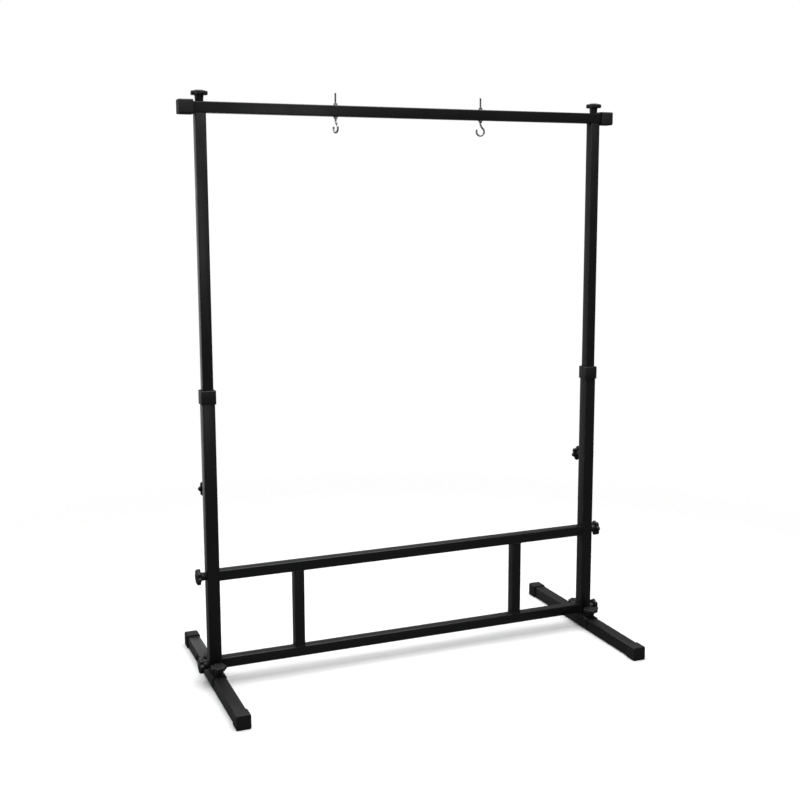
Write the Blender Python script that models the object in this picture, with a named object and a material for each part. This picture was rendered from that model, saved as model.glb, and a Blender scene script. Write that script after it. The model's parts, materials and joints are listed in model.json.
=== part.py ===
"""Height-adjustable hanging stand of square steel tube, with two hooks under its crossbar.

Two feet lie along Y. An upright stands on each, held by a saddle and two star knobs. A ladder of two
rails and two struts ties the uprights together. A narrower tube slides in each upright, and a crossbar
lies on top of both and carries the hooks. Metres, +Z up, origin on the floor midway between the feet.
"""

import math

import bmesh
import bpy
from mathutils import Matrix, Vector

# ---------------------------------------------------------------- driving dimensions
FIT = 0.0003  # gap between two pieces that touch

UPRIGHT_SPAN = 1.300  # between the middles of the two uprights
LOWER_TUBE = 0.038  # outer side of feet and lower uprights
UPPER_TUBE = 0.032  # outer side of upper uprights, crossbar, rails and struts
TUBE_WALL = 0.0015
TUBE_CORNER = 0.003  # outer corner radius of every tube

FOOT_LENGTH = 0.700  # over both caps
FOOT_CAP_WALL = 0.0027
FOOT_CAP_LENGTH = 0.042
CAP_END_WALL = 0.004
CAP_CORNER = 0.005

SADDLE_LENGTH = 0.124
SADDLE_PLATE = 0.0027
SADDLE_DROP = 0.030  # over the whole height of the inverted U
FOOT_KNOB_REACH = 0.050  # from the upright's middle to each foot knob
NUT_PLATE_THICKNESS = 0.008
NUT_PLATE_WIDTH = 0.024
NUT_PLATE_MARGIN = 0.015  # plate past the middle of each threaded hole
PLUG_RADIUS = 0.011  # button plug in the outer side of each foot
PLUG_CROWN_RADIUS = 0.0077
PLUG_STEM_RADIUS = 0.0055
PLUG_REACH = 0.172  # behind the upright's middle
PLUG_HEAD = 0.004
PLUG_STEM_LENGTH = 0.006

LOWER_UPRIGHT_TOP = 0.900
COLLAR_WALL = 0.0032
COLLAR_LID = 0.010
COLLAR_SKIRT = 0.031
COLLAR_SLEEVE = 0.030
COLLAR_CORNER = 0.0045
LOCK_HEIGHT = 0.601

UPPER_RAIL_HEIGHT = 0.3425
LOWER_RAIL_GAP = 0.0055  # between the saddles and the lower rail
LOWER_BOLT_DROP = 0.0035  # lower rail's bolts sit below its middle
STRUT_OFFSET = 0.380
RAIL_PLUG_LENGTH = 0.020
RAIL_PLUG_INSET = 0.0005

CROSSBAR_HEIGHT = 1.727
INSERTION = 0.400  # upper tube below the collar's top
TOP_PLUG_LENGTH = 0.025
GUIDE_LENGTH = 0.012
GUIDE_SPIGOT = 0.020
CROSSBAR_OVERHANG = 0.0625  # past the upright's middle, over the cap
CROSSBAR_CAP_LENGTH = 0.042
CROSSBAR_CAP_WALL = 0.0045

STUD_RADIUS = 0.004
STUD_CLEARANCE = 0.0006  # round a stud in a plain hole
STUD_GRIP = 0.014  # stud inside its thread
HUB_RADIUS = 0.0125
HUB_LENGTH = 0.017
HEAD_RADIUS = 0.0250
HEAD_HOLLOW = 0.0040  # how far the dips lie inside the lobes
HEAD_THICKNESS = 0.0125
HEAD_EDGE = 0.0030
BOSS_RADIUS = 0.0130  # raised disc in the middle of the head
BOSS_HEIGHT = 0.0020
LOBES = 7
POINTS_PER_LOBE = 4

LOCK_NUT_ACROSS = 0.013
LOCK_NUT_HEIGHT = 0.0065
LOCK_HUB_GAP = 0.0010  # between the nut and the hub of a tightened lock knob
PAD_RADIUS = 0.0037
PAD_THICKNESS = 0.0024

HOOK_SPACING = 0.480
HOOK_WIRE = 0.003  # radius
HOOK_BEND = 0.0125  # radius of the hook's middle line
HOOK_DROP = 0.050  # hook's lowest point below the crossbar
HOOK_RISE = 0.037  # shank's top above the crossbar
HOOK_JOIN = math.radians(50)  # where the neck runs into the round of the hook
HOOK_TIP = math.radians(150)
HOOK_TURN = {"left": math.radians(-78), "right": math.radians(-8)}
HOOK_NUT_ACROSS = 0.010
HOOK_NUT_HEIGHT = 0.005
WASHER_RADIUS = 0.008
WASHER_THICKNESS = 0.0014

CORNER_STEPS = 3
BORE_SIDES = 20
ROD_SIDES = 10
NECK_STEPS = 4
ROUND_STEPS = 18
SHARP_ANGLE = math.radians(35)
THROUGH = 3  # a cutter's length, as a multiple of what it passes through

# ---------------------------------------------------------------- dimensions that follow
SIDES = {"left": -1, "right": 1}
UPRIGHT_X = UPRIGHT_SPAN / 2
HALF_LOWER = LOWER_TUBE / 2
HALF_UPPER = UPPER_TUBE / 2
FOOT_BOTTOM = FOOT_CAP_WALL + FIT
FOOT_TOP = FOOT_BOTTOM + LOWER_TUBE
FOOT_MIDDLE = FOOT_BOTTOM + HALF_LOWER
SADDLE_TOP = FOOT_TOP + FIT + SADDLE_PLATE
NUT_PLATE_TOP = FOOT_TOP - TUBE_WALL - FIT
RAIL_END = UPRIGHT_X - HALF_LOWER - FIT
LOWER_RAIL_HEIGHT = SADDLE_TOP + LOWER_RAIL_GAP + HALF_UPPER
COLLAR_TOP = LOWER_UPRIGHT_TOP + FIT + COLLAR_LID
UPPER_BOTTOM = COLLAR_TOP - INSERTION
CROSSBAR_BOTTOM = CROSSBAR_HEIGHT - HALF_UPPER
CROSSBAR_TOP = CROSSBAR_HEIGHT + HALF_UPPER
UPPER_TOP = CROSSBAR_BOTTOM - FIT
CROSSBAR_END = UPRIGHT_X + CROSSBAR_OVERHANG
HOOK_X = HOOK_SPACING / 2
THREAD_RADIUS = STUD_RADIUS + FIT
HOLE_RADIUS = STUD_RADIUS + STUD_CLEARANCE
LOCK_SEAT = HALF_LOWER + FIT + LOCK_NUT_HEIGHT + LOCK_HUB_GAP
RAIL_BOLTS = {"upper": UPPER_RAIL_HEIGHT, "lower": LOWER_RAIL_HEIGHT - LOWER_BOLT_DROP}

ALONG_X = Matrix.Rotation(math.pi / 2, 4, "Y")
AGAINST_X = Matrix.Rotation(-math.pi / 2, 4, "Y")
ALONG_Y = Matrix.Rotation(-math.pi / 2, 4, "X")
AGAINST_Y = Matrix.Rotation(math.pi / 2, 4, "X")
UPRIGHT = Matrix.Identity(4)


# ---------------------------------------------------------------- materials
def material(name, colour, roughness, metallic):
    """A Principled material of one colour."""
    made = bpy.data.materials.new(name)
    made.use_nodes = True
    shader = made.node_tree.nodes["Principled BSDF"]
    shader.inputs["Base Color"].default_value = (*colour, 1)
    shader.inputs["Roughness"].default_value = roughness
    shader.inputs["Metallic"].default_value = metallic
    return made


FINISHES = {
    "powder_coat": ((0.012, 0.012, 0.013), 0.38, 0.0),
    "black_plastic": ((0.016, 0.016, 0.017), 0.45, 0.0),
    "rubber": ((0.020, 0.020, 0.021), 0.60, 0.0),
    "zinc": ((0.62, 0.63, 0.65), 0.30, 1.0),
}


# ---------------------------------------------------------------- outlines and skins
def rounded_square(half, corner, height):
    """A square with round corners at one height, anticlockwise."""
    points = []
    for quarter in range(4):
        middle = Vector((half - corner, half - corner, 0))
        middle.rotate(Matrix.Rotation(quarter * math.pi / 2, 3, "Z"))
        for step in range(CORNER_STEPS + 1):
            angle = (quarter + step / CORNER_STEPS) * math.pi / 2
            points.append(middle + Vector((corner * math.cos(angle), corner * math.sin(angle), height)))
    return points


def circle(radius, height, sides):
    """A circle at one height, anticlockwise."""
    turns = [2 * math.pi * side / sides for side in range(sides)]
    return [Vector((radius * math.cos(turn), radius * math.sin(turn), height)) for turn in turns]


def star(radius, height):
    """The lobed outline of a knob's head at one height, anticlockwise."""
    points = []
    for point in circle(1, 0, LOBES * POINTS_PER_LOBE):
        turn = math.atan2(point.y, point.x)
        dip = HEAD_HOLLOW * (1 - math.cos(LOBES * turn)) / 2
        points.append(point * (radius - dip) + Vector((0, 0, height)))
    return points


def skin(rings, ring_shaped=False):
    """A closed mesh through rings of as many points each: its ends are filled, or joined to a loop."""
    bm = bmesh.new()
    rows = [[bm.verts.new(point) for point in ring] for ring in rings]
    nexts = rows[1:] + rows[:1] if ring_shaped else rows[1:]
    for row, above in zip(rows, nexts):
        for i, corner in enumerate(row):
            j = (i + 1) % len(row)
            bm.faces.new((corner, row[j], above[j], above[i]))
    if not ring_shaped:
        bm.faces.new(rows[0])
        bm.faces.new(rows[-1])
    bmesh.ops.recalc_face_normals(bm, faces=bm.faces)
    mesh = bpy.data.meshes.new("mesh")
    bm.to_mesh(mesh)
    bm.free()
    mesh.shade_smooth()
    mesh.set_sharp_from_angle(angle=SHARP_ANGLE)
    return mesh


# ---------------------------------------------------------------- placing and cutting
def place(name, mesh, finish, location, turn=UPRIGHT):
    """An object for one sub-part, with its own material."""
    made = bpy.data.objects.new(name, mesh)
    bpy.context.collection.objects.link(made)
    made.matrix_world = Matrix.Translation(location) @ turn
    made.data.materials.append(material(f"{name}_{finish}", *FINISHES[finish]))
    return made


def drill(target, middle, turn, radius, length):
    """Cuts a round hole, centred on middle, from an object."""
    rings = [circle(radius, -length / 2, BORE_SIDES), circle(radius, length / 2, BORE_SIDES)]
    cutter = bpy.data.objects.new(f"cutter_for_{target.name}", skin(rings))
    bpy.context.collection.objects.link(cutter)
    cutter.matrix_world = Matrix.Translation(middle) @ turn
    cutter.hide_render = True
    cutter.display_type = "WIRE"
    cut = target.modifiers.new("hole", "BOOLEAN")
    cut.operation = "DIFFERENCE"
    cut.solver = "EXACT"
    cut.object = cutter


def tube(name, side, length, location, turn=UPRIGHT):
    """A square tube that starts at location and runs along its own Z."""
    half, inner = side / 2, side / 2 - TUBE_WALL
    inner_corner = TUBE_CORNER - TUBE_WALL
    rings = [
        rounded_square(half, TUBE_CORNER, 0),
        rounded_square(half, TUBE_CORNER, length),
        rounded_square(inner, inner_corner, length),
        rounded_square(inner, inner_corner, 0),
    ]
    return place(name, skin(rings, ring_shaped=True), "powder_coat", location, turn)


def end_cap(name, side, wall, length, location, turn):
    """A cap pushed over a tube's end. Location is the middle of its outer end and it opens along its Z."""
    inner = side / 2 + FIT
    inner_corner = TUBE_CORNER + FIT
    outer = inner + wall
    edge = wall / 2
    rings = [
        rounded_square(outer - edge, CAP_CORNER - edge / 2, 0),
        rounded_square(outer, CAP_CORNER, edge),
        rounded_square(outer, CAP_CORNER, length),
        rounded_square(inner, inner_corner, length),
        rounded_square(inner, inner_corner, CAP_END_WALL),
    ]
    return place(name, skin(rings), "rubber", location, turn)


def threaded_plug(name, length, location, turn):
    """A steel block set in a 30 mm tube's end. Location is the middle of its outer end."""
    half = HALF_UPPER - TUBE_WALL - FIT
    rings = [rounded_square(half, TUBE_CORNER - TUBE_WALL, height) for height in (0, length)]
    return place(name, skin(rings), "zinc", location, turn)


def star_knob(name, stud_length, location, turn):
    """A seven-lobed knob with a moulded-in stud. Its hub's end is at location, and its head is along Z."""
    sides = LOBES * POINTS_PER_LOBE
    head_low = HUB_LENGTH
    head_high = HUB_LENGTH + HEAD_THICKNESS
    rings = [
        circle(STUD_RADIUS, -stud_length, sides),
        circle(STUD_RADIUS, 0, sides),
        circle(HUB_RADIUS, 0, sides),
        circle(HUB_RADIUS, head_low, sides),
        star(HEAD_RADIUS - HEAD_EDGE, head_low),
        star(HEAD_RADIUS, head_low + HEAD_EDGE),
        star(HEAD_RADIUS, head_high - HEAD_EDGE),
        star(HEAD_RADIUS - HEAD_EDGE, head_high),
        circle(BOSS_RADIUS, head_high, sides),
        circle(BOSS_RADIUS - BOSS_HEIGHT / 2, head_high + BOSS_HEIGHT, sides),
    ]
    return place(name, skin(rings), "black_plastic", location, turn)


def hex_nut(name, across, height, bore, location, turn=UPRIGHT, finish="zinc"):
    """A hexagon nut, its lower face at location. Across and bore are measured between flats."""
    sides = 6
    flat_to_corner = 1 / math.cos(math.pi / sides)
    corner, bore_corner = across / 2 * flat_to_corner, bore * flat_to_corner
    rings = [
        circle(corner, 0, sides),
        circle(corner, height, sides),
        circle(bore_corner, height, sides),
        circle(bore_corner, 0, sides),
    ]
    return place(name, skin(rings, ring_shaped=True), finish, location, turn)


def washer(name, location):
    """A plain washer round a hook's shank, its lower face at location."""
    inner = HOOK_WIRE + FIT
    rings = [
        circle(WASHER_RADIUS, 0, BORE_SIDES),
        circle(WASHER_RADIUS, WASHER_THICKNESS, BORE_SIDES),
        circle(inner, WASHER_THICKNESS, BORE_SIDES),
        circle(inner, 0, BORE_SIDES),
    ]
    return place(name, skin(rings, ring_shaped=True), "zinc", location)


# ---------------------------------------------------------------- feet
def foot(side, sign):
    """One foot: its tube, end caps, nut plate and button plug."""
    x = sign * UPRIGHT_X
    tube_end = FOOT_LENGTH / 2 - CAP_END_WALL - FIT
    start = Vector((x, -tube_end, FOOT_MIDDLE))
    foot_tube = tube(f"foot_tube_{side}", LOWER_TUBE, 2 * tube_end, start, ALONG_Y)

    for end, turn, along in (("front", ALONG_Y, -1), ("rear", AGAINST_Y, 1)):
        outer = Vector((x, along * FOOT_LENGTH / 2, FOOT_MIDDLE))
        end_cap(f"foot_cap_{side}_{end}", LOWER_TUBE, FOOT_CAP_WALL, FOOT_CAP_LENGTH, outer, turn)

    half_length = FOOT_KNOB_REACH + NUT_PLATE_MARGIN
    half_width = NUT_PLATE_WIDTH / 2
    plate_middle = NUT_PLATE_TOP - NUT_PLATE_THICKNESS / 2
    outline = [(-half_width, -half_length), (half_width, -half_length)]
    outline += [(half_width, half_length), (-half_width, half_length)]
    rings = [[Vector((*xy, z * NUT_PLATE_THICKNESS / 2)) for xy in outline] for z in (-1, 1)]
    nut_plate = place(f"foot_nut_plate_{side}", skin(rings), "zinc", (x, 0, plate_middle))
    for along in (-1, 1):
        at = Vector((x, along * FOOT_KNOB_REACH, plate_middle))
        drill(nut_plate, at, UPRIGHT, THREAD_RADIUS, THROUGH * NUT_PLATE_THICKNESS)
        drill(foot_tube, Vector((at.x, at.y, FOOT_TOP)), UPRIGHT, HOLE_RADIUS, THROUGH * TUBE_WALL)

    outward = ALONG_X if sign > 0 else AGAINST_X
    face = Vector((x + sign * HALF_LOWER, PLUG_REACH, FOOT_MIDDLE))
    drill(foot_tube, face, outward, PLUG_STEM_RADIUS + FIT, THROUGH * TUBE_WALL)
    rings = [
        circle(PLUG_STEM_RADIUS, -PLUG_STEM_LENGTH, BORE_SIDES),
        circle(PLUG_STEM_RADIUS, FIT, BORE_SIDES),
        circle(PLUG_RADIUS, FIT, BORE_SIDES),
        circle(PLUG_RADIUS, PLUG_HEAD / 2, BORE_SIDES),
        circle(PLUG_CROWN_RADIUS, PLUG_HEAD, BORE_SIDES),
    ]
    place(f"foot_button_{side}", skin(rings), "rubber", face, outward)


def saddle(side, sign):
    """The inverted U that straddles a foot under its upright."""
    x = sign * UPRIGHT_X
    inner = HALF_LOWER + FIT
    outer = inner + SADDLE_PLATE
    bottom = SADDLE_TOP - SADDLE_DROP
    roof = SADDLE_TOP - SADDLE_PLATE
    corner = TUBE_CORNER + SADDLE_PLATE
    profile = [(-inner, roof), (-inner, bottom), (-outer, bottom), (-outer, SADDLE_TOP - corner)]
    for step in range(1, CORNER_STEPS):
        angle = math.pi - step * math.pi / 2 / CORNER_STEPS
        px, pz = corner * math.cos(angle) - outer + corner, corner * math.sin(angle) + SADDLE_TOP - corner
        profile.append((px, pz))
    profile.append((-outer + corner, SADDLE_TOP))
    profile += [(-px, pz) for px, pz in reversed(profile)]
    rings = [[Vector((px, y * SADDLE_LENGTH / 2, pz)) for px, pz in profile] for y in (-1, 1)]
    made = place(f"saddle_{side}", skin(rings), "powder_coat", (x, 0, 0))
    for along in (-1, 1):
        at = Vector((x, along * FOOT_KNOB_REACH, roof))
        drill(made, at, UPRIGHT, HOLE_RADIUS, THROUGH * SADDLE_PLATE)


def foot_knobs(side, sign):
    """The two knobs that hold a saddle down on its foot."""
    stud = SADDLE_TOP + FIT - NUT_PLATE_TOP + STUD_GRIP
    for end, along in (("front", -1), ("rear", 1)):
        seat = Vector((sign * UPRIGHT_X, along * FOOT_KNOB_REACH, SADDLE_TOP + FIT))
        star_knob(f"foot_knob_{side}_{end}", stud, seat, UPRIGHT)


# ---------------------------------------------------------------- lower uprights
def lower_upright(side, sign):
    """The outer telescopic tube with its collar, lock nut, pad and lock knob."""
    x = sign * UPRIGHT_X
    bottom = SADDLE_TOP + FIT
    post = tube(f"lower_upright_{side}", LOWER_TUBE, LOWER_UPRIGHT_TOP - bottom, (x, 0, bottom))
    for height in RAIL_BOLTS.values():
        drill(post, Vector((x, 0, height)), ALONG_X, HOLE_RADIUS, THROUGH * LOWER_TUBE)
    lock_hole = Vector((x, HALF_LOWER, LOCK_HEIGHT))
    drill(post, lock_hole, ALONG_Y, HOLE_RADIUS, THROUGH * TUBE_WALL)

    seat = Vector((x, HALF_LOWER + FIT, LOCK_HEIGHT))
    hex_nut(f"lock_nut_{side}", LOCK_NUT_ACROSS, LOCK_NUT_HEIGHT, THREAD_RADIUS, seat, ALONG_Y, "powder_coat")

    pad_face = HALF_UPPER + FIT
    rings = [circle(PAD_RADIUS, height, BORE_SIDES) for height in (0, PAD_THICKNESS)]
    place(f"lock_pad_{side}", skin(rings), "black_plastic", (x, pad_face, LOCK_HEIGHT), ALONG_Y)
    stud = LOCK_SEAT - pad_face - PAD_THICKNESS - FIT
    star_knob(f"lock_knob_{side}", stud, Vector((x, LOCK_SEAT, LOCK_HEIGHT)), ALONG_Y)


def collar(side, sign):
    """The guide collar on top of a lower upright: a skirt outside it, a sleeve inside and a lid."""
    hole = HALF_UPPER + FIT
    sleeve = HALF_LOWER - TUBE_WALL - FIT
    skirt = HALF_LOWER + FIT
    outer = skirt + COLLAR_WALL
    lid = LOWER_UPRIGHT_TOP + FIT
    skirt_end = lid - COLLAR_SKIRT
    sleeve_end = lid - COLLAR_SLEEVE
    chamfer = COLLAR_WALL / 2
    hole_corner = TUBE_CORNER + FIT
    sleeve_corner = TUBE_CORNER - TUBE_WALL
    rings = [
        rounded_square(outer, COLLAR_CORNER, skirt_end),
        rounded_square(outer, COLLAR_CORNER, COLLAR_TOP - chamfer),
        rounded_square(outer - chamfer, COLLAR_CORNER - chamfer / 2, COLLAR_TOP),
        rounded_square(hole, hole_corner, COLLAR_TOP),
        rounded_square(hole, hole_corner, sleeve_end),
        rounded_square(sleeve, sleeve_corner, sleeve_end),
        rounded_square(sleeve, sleeve_corner, lid),
        rounded_square(skirt, hole_corner, lid),
        rounded_square(skirt, hole_corner, skirt_end),
    ]
    place(f"collar_{side}", skin(rings, ring_shaped=True), "black_plastic", (sign * UPRIGHT_X, 0, 0))


# ---------------------------------------------------------------- ladder frame
def ladder():
    """Two rails, two struts, the rails' threaded ends and the knobs that draw them to the uprights."""
    for level, height in (("upper", UPPER_RAIL_HEIGHT), ("lower", LOWER_RAIL_HEIGHT)):
        tube(f"{level}_rail", UPPER_TUBE, 2 * RAIL_END, (-RAIL_END, 0, height), ALONG_X)
        for side, sign in SIDES.items():
            inward = AGAINST_X if sign > 0 else ALONG_X
            outward = ALONG_X if sign > 0 else AGAINST_X
            end = Vector((sign * (RAIL_END - RAIL_PLUG_INSET), 0, height))
            plug = threaded_plug(f"{level}_rail_plug_{side}", RAIL_PLUG_LENGTH, end, inward)
            bolt = Vector((end.x, 0, RAIL_BOLTS[level]))
            drill(plug, bolt, ALONG_X, THREAD_RADIUS, THROUGH * RAIL_PLUG_LENGTH)
            seat = Vector((sign * (UPRIGHT_X + HALF_LOWER + FIT), 0, RAIL_BOLTS[level]))
            stud = abs(seat.x) - abs(end.x) + STUD_GRIP
            star_knob(f"{level}_rail_knob_{side}", stud, seat, outward)

    bottom = LOWER_RAIL_HEIGHT + HALF_UPPER + FIT
    top = UPPER_RAIL_HEIGHT - HALF_UPPER - FIT
    for side, sign in SIDES.items():
        tube(f"strut_{side}", UPPER_TUBE, top - bottom, (sign * STRUT_OFFSET, 0, bottom))


# ---------------------------------------------------------------- sliding top
def upper_upright(side, sign):
    """The inner telescopic tube, with a guide at its foot and a threaded plug at its top."""
    x = sign * UPRIGHT_X
    tube(f"upper_upright_{side}", UPPER_TUBE, UPPER_TOP - UPPER_BOTTOM, (x, 0, UPPER_BOTTOM))

    top = Vector((x, 0, UPPER_TOP - FIT))
    plug = threaded_plug(f"top_plug_{side}", TOP_PLUG_LENGTH, top, Matrix.Rotation(math.pi, 4, "X"))
    drill(plug, top, UPRIGHT, THREAD_RADIUS, THROUGH * TOP_PLUG_LENGTH)

    guide = HALF_LOWER - TUBE_WALL - FIT
    spigot = HALF_UPPER - TUBE_WALL - FIT
    corner = TUBE_CORNER - TUBE_WALL
    rings = [
        rounded_square(guide, corner, -GUIDE_LENGTH),
        rounded_square(guide, corner, -FIT),
        rounded_square(spigot, corner, -FIT),
        rounded_square(spigot, corner, GUIDE_SPIGOT),
    ]
    place(f"guide_plug_{side}", skin(rings), "black_plastic", (x, 0, UPPER_BOTTOM))


def crossbar():
    """The crossbar, its end caps and the knobs that hold it on the upper uprights."""
    tube_end = CROSSBAR_END - CAP_END_WALL - FIT
    start = Vector((-tube_end, 0, CROSSBAR_HEIGHT))
    bar = tube("crossbar", UPPER_TUBE, 2 * tube_end, start, ALONG_X)
    for side, sign in SIDES.items():
        knob_hole = Vector((sign * UPRIGHT_X, 0, CROSSBAR_HEIGHT))
        drill(bar, knob_hole, UPRIGHT, HOLE_RADIUS, THROUGH * UPPER_TUBE)
        hook_hole = Vector((sign * HOOK_X, 0, CROSSBAR_HEIGHT))
        drill(bar, hook_hole, UPRIGHT, HOOK_WIRE + FIT, THROUGH * UPPER_TUBE)

        inward = AGAINST_X if sign > 0 else ALONG_X
        outer = Vector((sign * CROSSBAR_END, 0, CROSSBAR_HEIGHT))
        end_cap(f"crossbar_cap_{side}", UPPER_TUBE, CROSSBAR_CAP_WALL, CROSSBAR_CAP_LENGTH, outer, inward)

        seat = Vector((sign * UPRIGHT_X, 0, CROSSBAR_TOP + FIT))
        stud = seat.z - (UPPER_TOP - FIT) + STUD_GRIP
        star_knob(f"crossbar_knob_{side}", stud, seat, UPRIGHT)


# ---------------------------------------------------------------- hooks
def hook_line():
    """The middle line of a hook in its own XZ plane, from the shank's top to the tip."""
    centre = CROSSBAR_BOTTOM - HOOK_DROP + HOOK_WIRE + HOOK_BEND
    join = Vector((HOOK_BEND * math.cos(HOOK_JOIN), 0, HOOK_BEND * math.sin(HOOK_JOIN)))
    neck = join.x / (1 - math.cos(HOOK_JOIN))
    neck_top = centre + join.z + neck * math.sin(HOOK_JOIN)
    line = [Vector((0, 0, CROSSBAR_TOP + HOOK_RISE))]
    for step in range(NECK_STEPS):
        angle = HOOK_JOIN * step / NECK_STEPS
        line.append(Vector((neck * (1 - math.cos(angle)), 0, neck_top - neck * math.sin(angle))))
    sweep = HOOK_JOIN + 2 * math.pi - HOOK_TIP
    for step in range(ROUND_STEPS + 1):
        angle = HOOK_JOIN - sweep * step / ROUND_STEPS
        line.append(Vector((HOOK_BEND * math.cos(angle), 0, centre + HOOK_BEND * math.sin(angle))))
    return line


def rod(line, radius):
    """A round rod along a line that lies in the XZ plane."""
    rings = []
    for i, point in enumerate(line):
        before, after = line[max(i - 1, 0)], line[min(i + 1, len(line) - 1)]
        along = (after - before).normalized()
        across = Vector((0, 1, 0)).cross(along)
        ring = [across * p.x + Vector((0, 1, 0)) * p.y for p in circle(radius, 0, ROD_SIDES)]
        rings.append([point + offset for offset in ring])
    return skin(rings)


def hook(side, sign):
    """A threaded hook through the crossbar, with a nut and a washer above and below."""
    x = sign * HOOK_X
    turn = Matrix.Rotation(HOOK_TURN[side], 4, "Z")
    place(f"hook_{side}", rod(hook_line(), HOOK_WIRE), "zinc", (x, 0, 0), turn)

    bore = HOOK_WIRE + FIT
    upper_washer = CROSSBAR_TOP + FIT
    upper_nut = upper_washer + WASHER_THICKNESS + FIT
    lower_washer = CROSSBAR_BOTTOM - FIT - WASHER_THICKNESS
    lower_nut = lower_washer - FIT - HOOK_NUT_HEIGHT
    washer(f"hook_washer_{side}_upper", (x, 0, upper_washer))
    washer(f"hook_washer_{side}_lower", (x, 0, lower_washer))
    hex_nut(f"hook_nut_{side}_upper", HOOK_NUT_ACROSS, HOOK_NUT_HEIGHT, bore, (x, 0, upper_nut), turn)
    hex_nut(f"hook_nut_{side}_lower", HOOK_NUT_ACROSS, HOOK_NUT_HEIGHT, bore, (x, 0, lower_nut), turn)


# ---------------------------------------------------------------- the stand
def build():
    """Every piece of the stand."""
    for old in list(bpy.data.objects):
        bpy.data.objects.remove(old)
    ladder()
    crossbar()
    for side, sign in SIDES.items():
        foot(side, sign)
        saddle(side, sign)
        foot_knobs(side, sign)
        lower_upright(side, sign)
        collar(side, sign)
        upper_upright(side, sign)
        hook(side, sign)


build()
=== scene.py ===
# %% [markdown]
# # A hanging stand of black square tube
#
# The stand carries a punching bag. Two feet lie on the floor, an upright stands on each, a ladder of two
# rails ties the uprights together, and a narrower tube slides up in each upright to carry the crossbar.
# Everything is held by star knobs, so that it comes apart for storage.
#
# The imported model, called the frame here, already holds every solid in its right place. This lesson
# gives it its looks: each visible solid is rebuilt with the rounding, holes, threads and welds of the
# real one, and the few hidden solids only get a finish.

# %% Load the frame
import json
import math

import bmesh
import bpy
from mathutils import Matrix, Vector


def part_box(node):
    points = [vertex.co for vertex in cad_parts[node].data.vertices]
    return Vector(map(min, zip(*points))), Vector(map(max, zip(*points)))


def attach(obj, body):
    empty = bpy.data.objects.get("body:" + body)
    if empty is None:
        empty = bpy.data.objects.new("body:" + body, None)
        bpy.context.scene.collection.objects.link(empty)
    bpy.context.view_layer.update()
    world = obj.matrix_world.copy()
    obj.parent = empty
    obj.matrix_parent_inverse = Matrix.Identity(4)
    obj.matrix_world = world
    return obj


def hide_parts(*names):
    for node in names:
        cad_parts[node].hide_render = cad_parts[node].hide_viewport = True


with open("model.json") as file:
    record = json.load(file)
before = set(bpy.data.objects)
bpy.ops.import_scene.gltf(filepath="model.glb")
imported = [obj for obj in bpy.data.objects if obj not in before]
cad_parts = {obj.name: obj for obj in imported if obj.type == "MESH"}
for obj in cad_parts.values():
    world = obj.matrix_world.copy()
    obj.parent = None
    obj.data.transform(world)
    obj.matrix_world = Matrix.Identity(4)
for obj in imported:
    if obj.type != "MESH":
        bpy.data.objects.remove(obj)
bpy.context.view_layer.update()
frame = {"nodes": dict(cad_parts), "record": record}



# %% [markdown]
# ## Who moves what
#
# The frame's record says which nodes make a rigid body, which joint moves the body, and which finish
# each node has. The bodies and joints could be typed in again beside each piece. A look-up by node saves
# writing them twice, and can't disagree with the frame.

# %% Look-ups by node
record = frame["record"]
BODY_OF = {node: body for body, nodes in record["behaviour"]["bodies"].items() for node in nodes}
JOINT_OF = {joint["child"]: joint for joint in record["behaviour"]["joints"]}
SIDES = {"left": -1, "right": 1}

# %% [markdown]
# ## Working as by hand
#
# Operators act on whatever is selected, and the loaded nodes start out selected. So one helper takes a
# single piece in hand, and another picks faces or edges of it by a test on their place or direction.
# Picking by number would be shorter, but the numbers change whenever a step before it does.

# %% Take a piece in hand
def put_down():
    """Object mode, with nothing selected."""
    if bpy.context.mode != "OBJECT":
        bpy.ops.object.mode_set(mode="OBJECT")
    bpy.ops.object.select_all(action="DESELECT")


def take(piece):
    """Makes one piece the selected and active one, in object mode."""
    put_down()
    piece.select_set(True)
    bpy.context.view_layer.objects.active = piece


def edit(piece):
    """Takes a piece in hand and enters edit mode, with all of it selected."""
    take(piece)
    bpy.ops.object.mode_set(mode="EDIT")
    bpy.ops.mesh.select_mode(type="VERT")
    bpy.ops.mesh.select_all(action="SELECT")


# %% Pick faces, edges and corners of it
TINY = 0.00005


def pick(kind, test):
    """In edit mode, selects just the faces, edges or vertices that pass a test."""
    bpy.ops.mesh.select_mode(type=kind)
    bpy.ops.mesh.select_all(action="DESELECT")
    mesh = bpy.context.object.data
    shape = bmesh.from_edit_mesh(mesh)
    for part in {"FACE": shape.faces, "EDGE": shape.edges, "VERT": shape.verts}[kind]:
        if test(part):
            part.select_set(True)
    bmesh.update_edit_mesh(mesh)


def faces(axis, sign, at=None):
    """A test for faces that look along an axis one way, at a given place on it if one is given."""
    def test(face):
        looks = face.normal[axis] * sign > 0.9
        return looks and (at is None or abs(face.calc_center_median()[axis] - at) < TINY)
    return test


def edges_along(axis):
    """A test for edges that run along an axis."""
    def test(edge):
        run = edge.verts[1].co - edge.verts[0].co
        return abs(run[axis]) > 0.99 * run.length
    return test


def edges_at(axis, at):
    """A test for edges that lie in the plane across an axis at a given place."""
    return lambda edge: all(abs(corner.co[axis] - at) < TINY for corner in edge.verts)


def both_rims(low, high):
    """A test for the edges at the two ends of a piece that stands on the Z axis."""
    return lambda edge: edges_at(2, low)(edge) or edges_at(2, high)(edge)


# %% Shape what is picked
def pull(offset):
    """Extrudes what is selected by an offset."""
    bpy.ops.mesh.extrude_region_move(TRANSFORM_OT_translate={"value": offset})


def face_outwards():
    """Turns every face to look out of the solid."""
    bpy.ops.mesh.select_all(action="SELECT")
    bpy.ops.mesh.normals_make_consistent(inside=False)


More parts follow.
